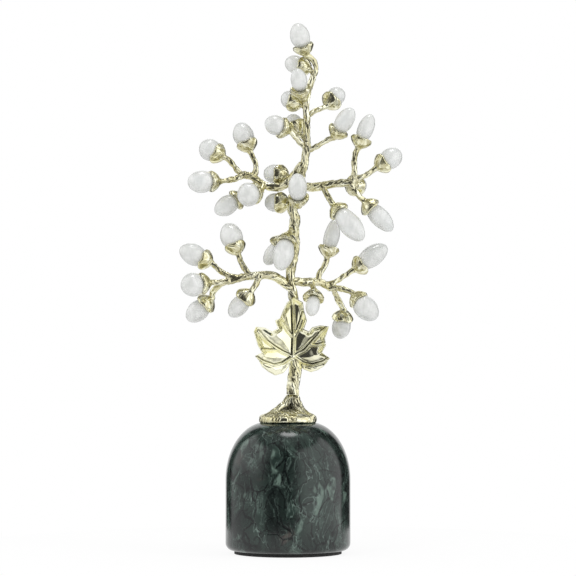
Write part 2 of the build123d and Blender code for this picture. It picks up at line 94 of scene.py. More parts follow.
LIMBS = {
    "lower_left": [
        [(292, 291, 0), (286, 284, -1), (278, 278, -3), (270, 275, -6), (259, 275, -8), (250, 276, -10),
         (240, 278, -12), (228, 281, -12)],
        [(250, 276, -10), (245, 269, -8), (241, 262, -4), (238, 254, -1), (235, 245, 2)],
        [(240, 278, -12), (226, 274, -10), (218, 269, -7), (212, 263, -4), (203, 259, -2)],
        [(228, 281, -12), (219, 282, -15), (211, 282, -17), (202, 283, -20)],
        [(228, 281, -12), (220, 285, -9), (214, 290, -5), (212, 298, -1), (206, 303, 1)],
        [(259, 275, -8), (256, 284, -13), (251, 291, -16), (246, 298, -12)],
    ],
    "lower_right": [
        [(290.5, 281, 0), (300, 282, 2), (311, 282, 5.5), (318, 282, 8), (325, 285, 10), (333, 288, 11)],
        [(318, 282, 8), (320, 273, 9), (325, 265, 11), (327, 257, 12), (329, 247, 14)],
        [(325, 285, 10), (337, 281, 13), (345, 276, 16), (354, 270, 18), (362, 265, 20)],
        [(333, 288, 11), (342, 289, 8), (353, 293.5, 4), (360, 302, 2)],
        [(333, 288, 11), (338, 299, 14), (344, 310, 17), (343, 319, 19)],
        [(311, 282, 5.5), (314.5, 290, -5), (313, 299, -10)],
    ],
    "middle_left": [
        [(304, 164, 0), (296, 173, 1), (288, 182, 3), (277, 187, 5), (264, 185, 8), (252, 177, 11),
         (245, 175, 12)],
        [(245, 175, 12), (239, 172, 13), (233, 165, 13), (224, 157, 13), (216, 153, 15)],
        [(252, 177, 11), (256, 168, 13), (254, 159, 15), (250, 151, 16), (247, 142, 18)],
        [(245, 175, 12), (236, 178, 9), (228, 180, 6), (220, 181, 3), (210, 181, 0)],
        [(264, 185, 8), (261, 192, -1), (254, 194, -7)],
        [(264, 185, 8), (252, 190, 12), (243, 195, 13), (235, 200, 12)],
        [(288, 182, 3), (287, 176, 9), (280, 175, 15)],
    ],
    "middle_right": [
        [(297.5, 189, 2), (310, 187, -3), (322, 186, -6), (333, 184, -8), (343, 183, -10),
         (351, 183, -11)],
        [(351, 183, -11), (354, 172, -10), (354, 161, -9), (358, 148, -8), (361, 139, -7)],
        [(351, 183, -11), (360, 178, -9), (368, 174, -6), (376, 168, -3), (384, 163, 0)],
        [(351, 183, -11), (356, 193, -12), (364, 201, -11), (371, 209, -9)],
        [(322, 186, -6), (327, 195, -10), (333, 205, -13), (340, 213, -16)],
        [(351, 183, -11), (352.5, 185.5, -4), (355, 185, 4)],
    ],
}
TWIGS = {
    "crown_back": [(314, 75, 2), (310, 69, 6), (302, 66, 11)],
    "crown_front": [(306.5, 101.5, 0), (302, 98, -7), (300, 89, -11)],
    "crown_left": [(306, 108.5, 0), (301, 104, 3), (294, 102, 8)],
    "upper_right": [(306.5, 116, 0), (315, 111, 2), (326.5, 106, 6), (332, 100, 11)],
    "fork_right": [(306.5, 150, 0), (316, 147, -3), (324, 142, -6), (333.5, 138, -8), (339, 130, -10)],
    "fork_left": [(306.5, 150, 0), (300, 142, -2), (295, 137, -4), (290, 131, -6), (282, 128, -9)],
    "fork_back": [(306.8, 141, 0), (299, 133, 7), (296, 126, 12)],
    "collar_left": [(294.5, 199, 1), (288, 203, 3), (280, 202, 8)],
    "collar_front": [(294.5, 199, 1), (299, 206, -8), (298, 196, -13)],
    "waist_front": [(294, 226, 0), (289, 233, -8), (286, 243, -12)],
    "waist_back": [(294.5, 237, 0), (284, 237, 5), (279, 245, 8)],
}
LIMB_STONES = {"lower_left": 5, "lower_right": 5, "middle_left": 6, "middle_right": 5}

LEAF_VEINS = [
    [(293, 357), (293.5, 345), (293.8, 333), (293, 306), (292, 298)],
    [(292, 356), (283, 352), (275, 347), (267, 341), (259, 331)],
    [(294, 356), (305, 350), (314, 340), (320, 333), (327, 327)],
    [(292, 357), (283, 363), (274, 365), (263, 361), (257, 357)],
    [(294, 357), (303, 363), (313, 365), (323, 362), (329, 358)],
    [(292.6, 336), (288, 331), (283, 323), (279, 314)],
    [(294.4, 336), (298, 329), (301, 321), (303, 313)],
    [(278, 349), (270, 350), (263, 349)],
    [(310, 345), (317, 345), (324, 343)],
]
LEAF_OUTLINE = [
    (294, 297), (287, 302), (283, 310), (280, 318), (275, 320), (278, 328), (272, 331), (265, 327),
    (256, 326), (254, 331), (258, 345), (262, 352), (255, 355), (259, 360), (262, 366), (268, 371),
    (275, 375), (283, 373), (288, 367), (291, 361), (298, 362), (303, 369), (311, 372), (318, 370),
    (324, 366), (330, 358), (322, 352), (326, 345), (325, 338), (327, 332), (329, 326), (320, 325),
    (312, 327), (309, 331), (304, 329), (307, 320), (304, 310), (303, 302), (294, 297),
]


def at(column, row, depth=0.0):
    """Place of a front-view pixel."""
    height = BASE_TOP + (BASE_TOP_ROW - row) * PIXEL
    return Vector(((column - AXIS_COLUMN) * PIXEL, depth * PIXEL, height))


class Value:
    """A socket whose operators add Math nodes to its tree."""

    def __init__(self, tree, socket):
        self.tree = tree
        self.socket = socket

    def out(self, name):
        """Another output of the same node."""
        outputs = self.socket.node.outputs
        return Value(self.tree, next(s for s in outputs if s.name == name and s.enabled))

    def math(self, operation, first, second=0.0):
        return self.tree.node("ShaderNodeMath", {"operation": operation}, {0: first, 1: second})

    def __add__(self, other):
        return self.math("ADD", self, other)

    def __radd__(self, other):
        return self.math("ADD", other, self)

    def __sub__(self, other):
        return self.math("SUBTRACT", self, other)

    def __rsub__(self, other):
        return self.math("SUBTRACT", other, self)

    def __mul__(self, other):
        return self.math("MULTIPLY", self, other)

    def __rmul__(self, other):
        return self.math("MULTIPLY", other, self)

    def __truediv__(self, other):
        return self.math("DIVIDE", self, other)

    def __rtruediv__(self, other):
        return self.math("DIVIDE", other, self)

    def __pow__(self, other):
        return self.math("POWER", self, other)

    def __abs__(self):
        return self.math("ABSOLUTE", self)

    def most(self, other):
        return self.math("MAXIMUM", self, other)

    def step(self, low, high):
        """0 below low, 1 above high, smooth between them."""
        return self.tree.node(
            "ShaderNodeMapRange", {"interpolation_type": "SMOOTHSTEP"},
            {"Value": self, "From Min": low, "From Max": high, "To Min": 0.0, "To Max": 1.0})


class Tree:
    """A node tree whose nodes all come from one method."""

    def __init__(self, tree):
        self.tree = tree

    def node(self, kind, settings=None, inputs=None, output=0):
        """Adds a node, sets its settings, then its sockets, and gives one of its outputs."""
        node = self.tree.nodes.new(kind)
        for name, setting in (settings or {}).items():
            setattr(node, name, setting)
        for key, value in (inputs or {}).items():
            if isinstance(key, int):
                socket = node.inputs[key]
            else:
                socket = next(s for s in node.inputs if s.name == key and s.enabled)
            if isinstance(value, Value):
                self.tree.links.new(value.socket, socket)
            elif value is not None:
                socket.default_value = value
        if not node.outputs:
            return node
        if isinstance(output, int):
            enabled = [s for s in node.outputs if s.enabled]
            return Value(self, enabled[output])
        return Value(self, next(s for s in node.outputs if s.name == output and s.enabled))

    def vector(self, operation, first, second=None, scale=None):
        inputs = {0: first}
        if second is not None:
            inputs[1] = second
        if scale is not None:
            inputs["Scale"] = scale
        return self.node("ShaderNodeVectorMath", {"operation": operation}, inputs)

    def blend(self, factor, first, second):
        """Mix of two colours."""
        settings = {"data_type": "RGBA", "blend_type": "MIX", "clamp_factor": True}
        return self.node("ShaderNodeMix", settings, {"Factor": factor, "A": first, "B": second})

    def noise(self, place, size, detail=2.0, rough=0.5, bend=0.0):
        """Noise whose spots are about as wide as size."""
        return self.node("ShaderNodeTexNoise", {"noise_dimensions": "3D"}, {
            "Vector": place, "Scale": 1.0 / size, "Detail": detail, "Roughness": rough,
            "Distortion": bend})

    def cracks(self, place, size):
        """Distance to the nearest side of cells about as wide as size, in cells."""
        return self.node("ShaderNodeTexVoronoi", {"feature": "DISTANCE_TO_EDGE"},
                         {"Vector": place, "Scale": 1.0 / size}, output="Distance")

    def stretch(self, place, scale, turn=(0.0, 0.0, 0.0), shift=(0.0, 0.0, 0.0)):
        return self.node("ShaderNodeMapping", {"vector_type": "POINT"},
                         {"Vector": place, "Location": shift, "Rotation": turn, "Scale": scale})


def rgba(colour):
    return (*colour[:3], 1.0)


def material(name):
    """A fresh material with its tree and Object coordinates."""
    paint = bpy.data.materials.new(name)
    paint.use_nodes = True
    paint.node_tree.nodes.clear()
    tree = Tree(paint.node_tree)
    place = tree.node("ShaderNodeTexCoord", output="Object")
    return paint, tree, place


def shade(tree, inputs):
    """Principled surface of a material."""
    surface = tree.node("ShaderNodeBsdfPrincipled", None, inputs)
    tree.node("ShaderNodeOutputMaterial", None, {"Surface": surface})


def gold_plate(colours):
    """Bright pale gold plating, browner in the bark's grooves, with painted shade beside the leaf's
    veins and between the root strands.
    """
    paint, tree, place = material("pale_gold_plate")
    groove = tree.node("ShaderNodeAttribute", {"attribute_name": "groove"}, output="Fac")
    # Painted shade mask: dark lines beside the leaf's veins and the hollow between the root strands
    patina = tree.node("ShaderNodeAttribute", {"attribute_name": "patina"}, output="Fac")
    cloud = tree.noise(place, 0.012, 3.0)
    grit = tree.noise(place, 0.0011, 2.0, 0.6)
    tone = tree.blend(cloud.step(0.35, 0.7), rgba(colours.gold), rgba(colours.gold_warm))
    tone = tree.blend(groove * 0.5, tone, rgba(colours.gold_deep))
    # Blends in the painted shade, nearly black
    tone = tree.blend(patina * 0.92, tone, rgba(colours.patina))
    rough = 0.09 + cloud * 0.06 + groove * 0.12
    bump = tree.node("ShaderNodeBump", None, {"Strength": 0.25, "Distance": 0.00018, "Height": grit})
    shade(tree, {"Base Color": tone, "Metallic": 1.0, "Roughness": rough, "Normal": bump})
    return paint


def white_gem(colours):
    """Milky polished quartz with soft bands and cloudy patches."""
    paint, tree, place = material("milky_white_stone")
    bent = tree.stretch(place, (1.0, 1.0, 0.45), (0.5, 0.35, 0.9))
    bands = tree.noise(bent, 0.006, 4.0, 0.55, 1.2)
    cloud = tree.noise(place, 0.014, 2.0)
    fleck = tree.noise(place, 0.0016, 3.0, 0.6)
    tone = tree.blend(bands.step(0.38, 0.66), rgba(colours.stone_shade), rgba(colours.stone))
    tone = tree.blend(cloud.step(0.5, 0.72) * 0.6, tone, rgba(colours.stone_cool))
    tone = tree.blend(fleck.step(0.62, 0.78) * 0.3, tone, rgba(colours.stone_light))
    rough = 0.07 + bands * 0.08
    bump = tree.node("ShaderNodeBump", None, {"Strength": 0.12, "Distance": 0.0003, "Height": bands})
    shade(tree, {"Base Color": tone, "Roughness": rough, "Normal": bump, "Specular IOR Level": 0.8,
                 "Subsurface Weight": 0.35, "Subsurface Radius": (0.9, 0.95, 0.9),
                 "Subsurface Scale": 0.004, "Coat Weight": 0.25, "Coat Roughness": 0.06})
    return paint


def green_marble(colours):
    """Dark green polished marble: clouds, shards, black seams, pale threads and a rusty patch."""
    paint, tree, place = material("dark_green_marble")
    warp = tree.noise(place, 0.03, 3.0, 0.5)
    pull = tree.vector("SCALE", tree.vector("SUBTRACT", warp.out("Color"), (0.5, 0.5, 0.5)), scale=0.022)
    bent = tree.vector("ADD", place, pull)
    leaning = tree.stretch(bent, (1.0, 1.0, 0.55), (0.25, -0.55, 0.0))
    mass = tree.noise(leaning, 0.024, 5.0, 0.55)
    patch = tree.noise(leaning, 0.011, 4.0, 0.6, 0.6)
    slanted = tree.stretch(bent, (1.0, 1.0, 0.38), (0.3, 0.6, 0.2), (0.2, 0.1, 0.0))
    chip = tree.node("ShaderNodeTexVoronoi", {"feature": "F1"}, {"Vector": slanted, "Scale": 1 / 0.0075},
                     output="Color")
    chance = tree.node("ShaderNodeSeparateColor", None, {"Color": chip})
    border = tree.cracks(slanted, 0.0075)
    shard = (chance.step(0.87, 0.91) * border.step(0.04, 0.22)
             * tree.noise(slanted, 0.0035, 3.0, 0.6).step(0.3, 0.6))
    seam = abs(tree.noise(leaning, 0.02, 4.0, 0.55, 0.8) - 0.5)
    crack = tree.cracks(tree.stretch(bent, (1.0, 1.0, 0.7), (0.5, 0.2, 0.4)), 0.017)
    hair = tree.cracks(tree.stretch(bent, (1.0, 1.0, 0.6), (0.2, -0.6, 0.1), (0.03, 0.05, 0.02)), 0.0085)
    broken = tree.noise(place, 0.022, 2.0, 0.5)
    threaded = tree.stretch(bent, (1.0, 1.0, 0.35), (0.1, 0.7, 0.4), (0.9, 0.5, 0.1))
    thread = abs(tree.noise(threaded, 0.012, 3.0, 0.55, 0.5) - 0.5)
    wisp = abs(tree.noise(threaded, 0.005, 3.0, 0.55, 0.8) - 0.5)
    speck = tree.noise(place, 0.0014, 2.0, 0.6)
    rust = tree.noise(tree.stretch(bent, (1.0, 1.0, 1.0), shift=(0.31, 0.77, 0.18)), 0.03, 2.0)
    tone = tree.blend(mass.step(0.34, 0.6), rgba(colours.marble_dark), rgba(colours.marble))
    tone = tree.blend(patch.step(0.48, 0.7) * 0.75, tone, rgba(colours.marble_cloud))
    tone = tree.blend(rust.step(0.62, 0.74) * 0.55, tone, rgba(colours.marble_rust))
    tone = tree.blend((1 - seam.step(0.004, 0.026)) * 0.6, tone, rgba(colours.marble_seam))
    tone = tree.blend((1 - crack.step(0.012, 0.05)) * broken.step(0.38, 0.5), tone,
                      rgba(colours.marble_seam))
    tone = tree.blend((1 - hair.step(0.015, 0.06)) * (1 - broken.step(0.42, 0.56)) * 0.8, tone,
                      rgba(colours.marble_seam))
    tone = tree.blend(shard * 0.75, tone, rgba(colours.marble_shard))
    tone = tree.blend((1 - thread.step(0.001, 0.014)) * mass.step(0.4, 0.62) * 0.55, tone,
                      rgba(colours.marble_thread))
    tone = tree.blend((1 - wisp.step(0.0, 0.03)) * patch.step(0.45, 0.65) * 0.35, tone,
                      rgba(colours.marble_thread))
    tone = tree.blend(speck.step(0.64, 0.76) * 0.35, tone, rgba(colours.marble_shard))
    rough = 0.1 + patch * 0.06
    bump = tree.node("ShaderNodeBump", None, {
        "Strength": 0.05, "Distance": 0.0002, "Height": crack.step(0.0, 0.04)})
    shade(tree, {"Base Color": tone, "Roughness": rough, "Normal": bump})
    return paint


def black_foam(colours):
    """Matt black foam of the pad, with a fine open grain."""
    paint, tree, place = material("black_foam_pad")
    grain = tree.noise(place, 0.0009, 3.0, 0.7)
    dust = tree.noise(place, 0.02, 2.0)
    wear = grain.step(0.4, 0.65) * 0.6 + dust * 0.2
    tone = tree.blend(wear, rgba(colours.pad), rgba(colours.pad_worn))
    bump = tree.node("ShaderNodeBump", None, {"Strength": 0.6, "Distance": 0.0004, "Height": grain})
    shade(tree, {"Base Color": tone, "Roughness": 0.85 - grain * 0.15, "Normal": bump})
    return paint


def zinc_steel(colours):
    """Zinc-coated steel with a faint turned grain."""
    paint, tree, place = material("zinc_steel")
    rings = tree.noise(tree.stretch(place, (0.15, 0.15, 6.0)), 0.002, 3.0, 0.6)
    cloud = tree.noise(place, 0.006, 3.0)
    tone = tree.blend(cloud.step(0.3, 0.7), rgba(colours.steel), rgba(colours.steel_dull))
    bump = tree.node("ShaderNodeBump", None, {"Strength": 0.3, "Distance": 0.0001, "Height": rings})
    shade(tree, {"Base Color": tone, "Metallic": 1.0, "Roughness": 0.3 + rings * 0.2, "Normal": bump})
    return paint


def finish(name):
    """A finish of the tree, made on first use."""
    makers = {
        "plated_metal": ("pale_gold_plate", gold_plate),
        "white_stone": ("milky_white_stone", white_gem),
        "green_marble": ("dark_green_marble", green_marble),
        "black_pad": ("black_foam_pad", black_foam),
        "fastener_steel": ("zinc_steel", zinc_steel),
    }
    label, maker = makers[name]
    return bpy.data.materials.get(label) or maker(bpy.context.scene.gem_tree_colours)


def geometry_tree(name, inputs):
    """An empty Geometry Nodes tree with named inputs, and its entry."""
    group = bpy.data.node_groups.new(name, "GeometryNodeTree")
    group.interface.new_socket("Geometry", in_out="OUTPUT", socket_type="NodeSocketGeometry")
    group.interface.new_socket("Geometry", in_out="INPUT", socket_type="NodeSocketGeometry")
    for label, kind in inputs.items():
        group.interface.new_socket(label, in_out="INPUT", socket_type=kind)
    tree = Tree(group)
    return group, tree, tree.node("NodeGroupInput", output="Geometry")


def close_tree(tree, shape, metal):
    """Ends a tree in smooth, real faces with a material."""
    smooth = tree.node("GeometryNodeSetShadeSmooth", None, {"Geometry": shape, "Shade Smooth": True})
    real = tree.node("GeometryNodeRealizeInstances", None, {"Geometry": smooth})
    done = tree.node("GeometryNodeSetMaterial", None, {"Geometry": real, "Material": metal})
    tree.node("NodeGroupOutput", None, {"Geometry": done})


def sampled(tree, shape, index, name, kind):
    """A named value of the nearest point of another shape."""
    value = tree.node("GeometryNodeInputNamedAttribute", {"data_type": kind}, {"Name": name})
    return tree.node("GeometryNodeSampleIndex", {"data_type": kind, "domain": "POINT"},
                     {"Geometry": shape, "Value": value, "Index": index})


def softened(tree, shape, rounds):
    """A shape with its place averaged over its neighbours."""
    place = tree.node("GeometryNodeInputPosition")
    mean = tree.node("GeometryNodeBlurAttribute", {"data_type": "FLOAT_VECTOR"},
                     {"Value": place, "Iterations": rounds})
    return tree.node("GeometryNodeSetPosition", None, {"Geometry": shape, "Position": mean})


def kept(tree, shape, name, value):
    """A shape with a value kept on its points."""
    return tree.node("GeometryNodeStoreNamedAttribute", {"data_type": "FLOAT", "domain": "POINT"},
                     {"Geometry": shape, "Name": name, "Value": value})


def bark_tree():
    """Twisted bark over a casting: grooves along the stems, knobs, calmer cups and painted shade in the
    hollows.
    """
    known = bpy.data.node_groups.get("Bark")
    if known:
        return known
    group, tree, entry = geometry_tree("Bark", {
        "Grain": "NodeSocketObject", "Soften": "NodeSocketInt", "Groove depth": "NodeSocketFloat",
        "Groove width": "NodeSocketFloat", "Groove pull": "NodeSocketFloat", "Twist": "NodeSocketFloat",
        "Knob depth": "NodeSocketFloat", "Knob size": "NodeSocketFloat", "Cup calm": "NodeSocketFloat",
        "Cup swell": "NodeSocketFloat", "Hollow": "NodeSocketFloat", "Hollow height": "NodeSocketFloat",
        "Metal": "NodeSocketMaterial"})
    shape = softened(tree, entry, entry.out("Soften"))
    grain = tree.node("GeometryNodeObjectInfo", {"transform_space": "ORIGINAL"},
                      {"Object": entry.out("Grain")}, output="Geometry")
    place = tree.node("GeometryNodeInputPosition")
    nearest = tree.node("GeometryNodeSampleNearest", {"domain": "POINT"},
                        {"Geometry": grain, "Sample Position": place})
    along = sampled(tree, grain, nearest, "along", "FLOAT_VECTOR")
    across = sampled(tree, grain, nearest, "across", "FLOAT_VECTOR")
    run = sampled(tree, grain, nearest, "run", "FLOAT")
    centre = tree.node("GeometryNodeSampleIndex", {"data_type": "FLOAT_VECTOR", "domain": "POINT"},
                       {"Geometry": grain, "Value": place, "Index": nearest})
    offset = tree.vector("SUBTRACT", place, centre)
    side = tree.vector("CROSS_PRODUCT", along, across)
    first = tree.vector("DOT_PRODUCT", offset, across).out("Value")
    second = tree.vector("DOT_PRODUCT", offset, side).out("Value")
    length = run + tree.vector("DOT_PRODUCT", offset, along).out("Value")
    local = tree.node("ShaderNodeCombineXYZ", None, {"X": first, "Y": second, "Z": 0.0})
    turned = tree.node("ShaderNodeVectorRotate", {"rotation_type": "Z_AXIS"},
                       {"Vector": local, "Angle": length * entry.out("Twist")})
    drawn = tree.vector("ADD", turned, tree.node(
        "ShaderNodeCombineXYZ", None, {"X": 0.0, "Y": 0.0, "Z": length * entry.out("Groove pull")}))
    ridge = tree.noise(drawn, entry.out("Groove width"), 1.5, 0.5, 0.3)
    crease = abs(ridge - 0.5) * 2.0
    groove = 1 - crease.step(0.02, 0.3)
    lump = tree.noise(place, entry.out("Knob size"), 1.0, 0.4)
    rise = (0.35 - groove) * entry.out("Groove depth") + (lump - 0.5) * 2.0 * entry.out("Knob depth")
    cup = sampled(tree, grain, nearest, "cup", "FLOAT")
    rise = rise * (1 - cup.step(0.0, 0.4) * entry.out("Cup calm"))
    rise = rise + cup.step(0.5, 1.0) * entry.out("Cup swell")
    height = tree.node("ShaderNodeSeparateXYZ", None, {"Vector": place}, output="Z")
    away = (first * first + second * second) ** 0.5
    # Painted shade on the surface away from the strands' cores, between the root strands, above the
    # flange
    hollow = away.step(STRAND_RADIUS, HOLLOW_RADIUS) * entry.out("Hollow")
    hollow = hollow * (height - entry.out("Hollow height")).step(0.0, HOLLOW_FADE)
    normal = tree.node("GeometryNodeInputNormal")
    shape = kept(tree, shape, "groove", groove)
    # Keeps the painted shade mask for the plating
    shape = kept(tree, shape, "patina", hollow)
    shape = tree.node("GeometryNodeSetPosition", None,
                      {"Geometry": shape, "Offset": tree.vector("SCALE", normal, scale=rise)})
    close_tree(tree, shape, entry.out("Metal"))
    return group


def pebble_tree():
    """Tumbled pebble: a smooth stone with worn flats, always inside its blank."""
    known = bpy.data.node_groups.get("Pebble")
    if known:
        return known
    group, tree, entry = geometry_tree("Pebble", {
        "Soften": "NodeSocketInt", "Wear": "NodeSocketFloat", "Plump": "NodeSocketFloat",
        "Flat size": "NodeSocketFloat", "Seed": "NodeSocketFloat", "Gem": "NodeSocketMaterial"})
    shape = softened(tree, entry, entry.out("Soften"))
    place = tree.node("GeometryNodeInputPosition")
    shift = tree.node("ShaderNodeCombineXYZ", None, {"X": entry.out("Seed"), "Y": 0.0, "Z": 0.0})
    flats = tree.noise(tree.vector("ADD", place, shift), entry.out("Flat size"), 0.0, 0.4)
    normal = tree.node("GeometryNodeInputNormal")
    sink = entry.out("Plump") - flats.step(0.3, 0.75) * entry.out("Wear")
    shape = tree.node("GeometryNodeSetPosition", None,
                      {"Geometry": shape, "Offset": tree.vector("SCALE", normal, scale=sink)})
    close_tree(tree, softened(tree, shape, 3), entry.out("Gem"))
    return group


def leaf_tree():
    """Lobed leaf: cushions between raised veins with a groove on each side, painted shade along each
    groove's upper side, and curled edges.
    """
    known = bpy.data.node_groups.get("Leaf")
    if known:
        return known
    group, tree, entry = geometry_tree("Leaf", {
        "Veins": "NodeSocketObject", "Edge": "NodeSocketObject", "Soften": "NodeSocketInt",
        "Cushion": "NodeSocketFloat", "Vein height": "NodeSocketFloat", "Vein width": "NodeSocketFloat",
        "Curl": "NodeSocketFloat", "Curl width": "NodeSocketFloat", "Crinkle": "NodeSocketFloat",
        "Hub height": "NodeSocketFloat", "Tilt": "NodeSocketFloat", "Metal": "NodeSocketMaterial"})
    shape = softened(tree, entry, entry.out("Soften"))
    place = tree.node("GeometryNodeInputPosition")
    flat = tree.vector("MULTIPLY", place, (1.0, 0.0, 1.0))
    sideways = tree.node("ShaderNodeSeparateXYZ", None, {"Vector": place}, output="X")
    height = sideways.out("Z")
    lines = {}
    for label in ("Veins", "Edge"):
        drawn = tree.node("GeometryNodeObjectInfo", {"transform_space": "ORIGINAL"},
                          {"Object": entry.out(label)}, output="Geometry")
        lines[label] = tree.node("GeometryNodeProximity", {"target_element": "EDGES"},
                                 {"Geometry": drawn, "Sample Position": flat}, output="Distance")
    width = entry.out("Vein width")
    near = lines["Veins"] / width
    rib = 1 - near.step(0.0, 1.0)
    ditch = near.step(0.7, 1.1) * (1 - near.step(1.3, 2.0))
    # Upper side of each vein, where the groove gets painted shade
    beside = tree.vector("SUBTRACT", flat, lines["Veins"].out("Position"))
    over = tree.vector("DOT_PRODUCT", beside, (-0.5, 0.0, 1.0)).out("Value").step(0.0, 0.0005)
    cushion = near.step(1.2, 10.0)
    rim = 1 - (lines["Edge"] / entry.out("Curl width")).step(0.0, 1.0)
    upper = (height - entry.out("Hub height")).step(-0.006, 0.006)
    crinkle = tree.noise(place, 0.009, 1.0, 0.5)
    lift = (cushion * entry.out("Cushion") + rib * entry.out("Vein height")
            - ditch * entry.out("Vein height") * 0.9 + (crinkle - 0.5) * entry.out("Crinkle")
            + rim * entry.out("Curl") * (upper * 2.0 - 1.0) - sideways * entry.out("Tilt"))
    push = tree.node("ShaderNodeCombineXYZ", None, {"X": 0.0, "Y": lift * -1.0, "Z": 0.0})
    # Stores the painted shade in the grooves on the veins' upper sides
    shape = kept(tree, shape, "patina", ditch * over)
    shape = tree.node("GeometryNodeSetPosition", None, {"Geometry": shape, "Offset": push})
    close_tree(tree, softened(tree, shape, 1), entry.out("Metal"))
    return group


def smooth_line(points, count=26):
    """Points on a smooth line through the given ones."""
    knots = np.array([points[0], *points, points[-1]], dtype=float)
    line = []
    for before, start, end, after in zip(knots, knots[1:], knots[2:], knots[3:]):
        for t in np.arange(count) / count:
            line.append(0.5 * (2 * start + (end - before) * t
                               + (2 * before - 5 * start + 4 * end - after) * t ** 2
                               + (3 * start - before - 3 * end + after) * t ** 3))
    return np.array([*line, knots[-1]])


def grain_lines(name, stems):
    """Points along the stems that carry the bark's directions, the length run and how near a cup is."""
    places, along, across, run, cup = [], [], [], [], []
    for number, stem in enumerate(stems):
        line = smooth_line([at(*pixel) for pixel in stem])
        heading = np.gradient(line, axis=0)
        heading /= np.linalg.norm(heading, axis=1, keepdims=True)
        steady = np.eye(3)[np.argmin(np.abs(heading).max(axis=0))]
        side = steady - heading * (heading @ steady)[:, None]
        side /= np.linalg.norm(side, axis=1, keepdims=True)
        steps = np.linalg.norm(np.diff(line, axis=0), axis=1)
        places += list(line)
        along += list(heading)
        across += list(side)
        length = np.concatenate([[0.0], np.cumsum(steps)])
        run += list(length + GRAIN_SHIFT * number)
        forks = any(stem[-1] == other[0] for other in stems)
        cup += list(np.clip((length - length[-1]) / CUP_REACH + 1.0, 0.0, 1.0) * (not forks))
    mesh = bpy.data.meshes.new(name)
    mesh.from_pydata(places, [], [])
    for label, kind, values, key in (("along", "FLOAT_VECTOR", along, "vector"),
                                     ("across", "FLOAT_VECTOR", across, "vector"),
                                     ("run", "FLOAT", run, "value"), ("cup", "FLOAT", cup, "value")):
        attribute = mesh.attributes.new(label, kind, "POINT")
        attribute.data.foreach_set(key, np.array(values, dtype=np.float32).ravel())
    return placed(name, mesh)


def drawn_lines(name, lines):
    """Flat lines of the leaf as edges."""
    places, edges = [], []
    for line in lines:
        points = [at(*pixel) for pixel in line]
        edges += [(len(places) + i, len(places) + i + 1) for i in range(len(points) - 1)]
        places += points
    mesh = bpy.data.meshes.new(name)
    mesh.from_pydata(places, edges, [])
    return placed(name, mesh)


def placed(name, mesh):
    thing = bpy.data.objects.new(name, mesh)
    bpy.context.scene.collection.objects.link(thing)
    return thing


def blank(nodes, name, voxel):
    """A closed, evenly meshed copy of CAD nodes."""
    form = bmesh.new()
    for node in nodes:
        form.from_mesh(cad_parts[node].data)
    bmesh.ops.remove_doubles(form, verts=form.verts, dist=1e-6)
    mesh = bpy.data.meshes.new(name)
    form.to_mesh(mesh)
    form.free()
    thing = placed(name, mesh)
    remesh = thing.modifiers.new("Even mesh", "REMESH")
    remesh.mode = "VOXEL"
    remesh.voxel_size = voxel
    return thing


def worked(thing, group, values):
    """Runs a Geometry Nodes tree over a thing and leaves it a plain mesh."""
    modifier = thing.modifiers.new(group.name, "NODES")
    modifier.node_group = group
    for item in group.interface.items_tree:
        if item.item_type == "SOCKET" and item.in_out == "INPUT" and item.name in values:
            modifier[item.identifier] = values[item.name]
    graph = bpy.context.evaluated_depsgraph_get()
    mesh = bpy.data.meshes.new_from_object(thing.evaluated_get(graph))
    mesh.name = thing.name
    thing.modifiers.clear()
    spare = thing.data
    thing.data = mesh
    bpy.data.meshes.remove(spare)
    return thing


def dropped(*things):
    """Removes helpers that have done their work."""
    for thing in things:
        mesh = thing.data
        bpy.data.objects.remove(thing)
        bpy.data.meshes.remove(mesh)


def fitted(thing, nodes):
    """Puts a finished piece in the place of its CAD nodes."""
    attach(thing, "root")
    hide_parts(*nodes)


def barked(name, nodes, stems, coarse=1.0, rounder=1, hollow=0.0):
    """A casting with bark that follows its stems and is calmer at their ends."""
    sizes = bpy.context.scene.gem_tree_sizes
    grain = grain_lines(f"{name}_grain", stems)
    thing = blank(nodes, f"{name}_bark", sizes.bark_voxel)
    worked(thing, bark_tree(), {
        "Grain": grain, "Soften": sizes.bark_soften * rounder,
        "Groove depth": sizes.groove_depth * coarse, "Groove width": sizes.groove_width,
        "Groove pull": sizes.groove_pull, "Twist": sizes.bark_twist,
        "Knob depth": sizes.knob_depth * coarse, "Knob size": sizes.knob_size * coarse,
        "Cup calm": sizes.cup_calm, "Cup swell": sizes.cup_swell, "Hollow": hollow,
        "Hollow height": BASE_TOP + sizes.flange_height, "Metal": finish("plated_metal")})
    dropped(grain)
    fitted(thing, nodes)


def metres(label, words, default):
    return FloatProperty(name=label, description=words, default=default, unit="LENGTH")


def ratio(label, words, default):
    return FloatProperty(name=label, description=words, default=default)


